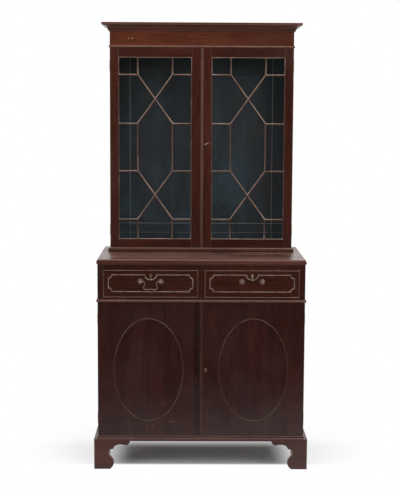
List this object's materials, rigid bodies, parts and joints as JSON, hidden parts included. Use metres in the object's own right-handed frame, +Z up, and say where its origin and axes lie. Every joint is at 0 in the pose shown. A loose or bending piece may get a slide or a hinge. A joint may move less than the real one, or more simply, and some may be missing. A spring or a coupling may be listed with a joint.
{
  "type": "two-part cupboard",
  "caption": "Tall wooden cupboard in stages: a glazed bookcase with barred doors stands on a deeper base with drawers over oval-panelled doors and bracket feet.",
  "frame": {"origin": "on the floor, under the middle of the bounding box", "axes": "+Z up, front towards -Y, +X to the right seen from the front"},
  "size_m": [1.052, 0.5903, 2.2],
  "materials": {
    "lower_mahogany": "aged French polish, dark red-brown, semi-gloss",
    "upper_mahogany": "aged French polish, red-brown, semi-gloss",
    "frieze_mahogany": "aged French polish, lighter and redder than the doors",
    "moulding_mahogany": "French polish worn pale along the edges",
    "pine": "bare old softwood, matt",
    "painted_wood": "old dark blue-green paint, matt",
    "glass": "old clear window glass",
    "brass": "tarnished",
    "steel": "worn, with a dull sheen"
  },
  "bodies": {
    "case": {"cornice": "moulding_mahogany", "drawer_rails": "lower_mahogany", "dustboard": "pine", "frieze": "frieze_mahogany", "front_left_foot": "lower_mahogany", "front_right_foot": "lower_mahogany", "lower_back": "pine", "lower_base": "moulding_mahogany", "lower_left_hinge_bottom": "brass", "lower_left_hinge_top": "brass", "lower_right_hinge_bottom": "brass", "lower_right_hinge_top": "brass", "lower_side_left": "lower_mahogany", "lower_side_right": "lower_mahogany", "lower_top": "moulding_mahogany", "rear_left_foot": "lower_mahogany", "rear_right_foot": "lower_mahogany", "upper_back": "painted_wood", "upper_base": "moulding_mahogany", "upper_left_hinge_bottom": "brass", "upper_left_hinge_top": "brass", "upper_right_hinge_bottom": "brass", "upper_right_hinge_top": "brass", "upper_side_left": "upper_mahogany", "upper_side_right": "upper_mahogany", "upper_top": "pine", "waist_bead": "moulding_mahogany"},
    "upper_left_door": {"upper_left_door_bars": "moulding_mahogany", "upper_left_door_frame": "upper_mahogany", "upper_left_door_glass": "glass"},
    "upper_right_door": {"upper_right_door_bars": "moulding_mahogany", "upper_right_door_frame": "upper_mahogany", "upper_right_door_glass": "glass", "upper_right_door_lock": "brass"},
    "lower_left_door": {"lower_left_door_board": "lower_mahogany", "lower_left_door_oval_bead": "moulding_mahogany", "lower_left_door_oval_panel": "lower_mahogany"},
    "lower_right_door": {"lower_right_door_board": "lower_mahogany", "lower_right_door_lock": "brass", "lower_right_door_oval_bead": "moulding_mahogany", "lower_right_door_oval_panel": "lower_mahogany"},
    "left_drawer": {"left_drawer_box": "pine", "left_drawer_cock_bead": "moulding_mahogany", "left_drawer_front": "lower_mahogany", "left_drawer_left_post": "brass", "left_drawer_lock": "brass", "left_drawer_right_post": "brass"},
    "right_drawer": {"right_drawer_box": "pine", "right_drawer_cock_bead": "moulding_mahogany", "right_drawer_front": "lower_mahogany", "right_drawer_left_post": "brass", "right_drawer_lock": "brass", "right_drawer_right_post": "brass"},
    "left_drawer_bail": {"left_drawer_bail": "brass"},
    "upper_door_key": {"upper_door_key": "steel"},
    "right_drawer_key": {"right_drawer_key": "steel"},
    "upper_lock_bolt": {"upper_right_door_lock_bolt": "steel"},
    "lower_lock_bolt": {"lower_right_door_lock_bolt": "steel"},
    "left_drawer_bolt": {"left_drawer_lock_bolt": "steel"},
    "right_drawer_bolt": {"right_drawer_lock_bolt": "steel"}
  },
  "joints": [
    {"name": "upper_left_door_hinge", "type": "hinge", "parent": "case", "child": "upper_left_door", "pos_m": [-0.4648, 0.0875, 1.065], "axis": [0, 0, -1], "range_deg": [0, 170]},
    {"name": "upper_right_door_hinge", "type": "hinge", "parent": "case", "child": "upper_right_door", "pos_m": [0.4648, 0.0875, 1.065], "axis": [0, 0, 1], "range_deg": [0, 170]},
    {"name": "lower_left_door_hinge", "type": "hinge", "parent": "case", "child": "lower_left_door", "pos_m": [-0.5073, -0.2395, 0.1665], "axis": [0, 0, -1], "range_deg": [0, 170]},
    {"name": "lower_right_door_hinge", "type": "hinge", "parent": "case", "child": "lower_right_door", "pos_m": [0.5073, -0.2395, 0.1665], "axis": [0, 0, 1], "range_deg": [0, 170]},
    {"name": "left_drawer_slide", "type": "slide", "parent": "case", "child": "left_drawer", "axis": [0, -1, 0], "range_m": [0, 0.38]},
    {"name": "right_drawer_slide", "type": "slide", "parent": "case", "child": "right_drawer", "axis": [0, -1, 0], "range_m": [0, 0.38]},
    {"name": "bail_swing", "type": "hinge", "parent": "left_drawer", "child": "left_drawer_bail", "pos_m": [-0.24775, -0.2726, 0.9335], "axis": [-1, 0, 0], "range_deg": [0, 95]},
    {"name": "upper_key_turn", "type": "hinge", "parent": "upper_right_door", "child": "upper_door_key", "pos_m": [0.0237, 0.065, 1.5945], "axis": [0, 1, 0], "range_deg": [0, 180]},
    {"name": "drawer_key_turn", "type": "hinge", "parent": "right_drawer", "child": "right_drawer_key", "pos_m": [0.24775, -0.2605, 0.963], "axis": [0, 1, 0], "range_deg": [0, 180]},
    {"name": "upper_lock_bolt_slide", "type": "slide", "parent": "upper_right_door", "child": "upper_lock_bolt", "axis": [-1, 0, 0], "range_m": [0, 0.01]},
    {"name": "lower_lock_bolt_slide", "type": "slide", "parent": "lower_right_door", "child": "lower_lock_bolt", "axis": [-1, 0, 0], "range_m": [0, 0.01]},
    {"name": "left_drawer_bolt_slide", "type": "slide", "parent": "left_drawer", "child": "left_drawer_bolt", "axis": [0, 0, 1], "range_m": [0, 0.01]},
    {"name": "right_drawer_bolt_slide", "type": "slide", "parent": "right_drawer", "child": "right_drawer_bolt", "axis": [0, 0, 1], "range_m": [0, 0.01]}
  ],
  "couplings": [
    {"joint": "upper_lock_bolt_slide", "follows": "upper_key_turn", "m_per_rad": 0.00318},
    {"joint": "right_drawer_bolt_slide", "follows": "drawer_key_turn", "m_per_rad": 0.00318}
  ]
}
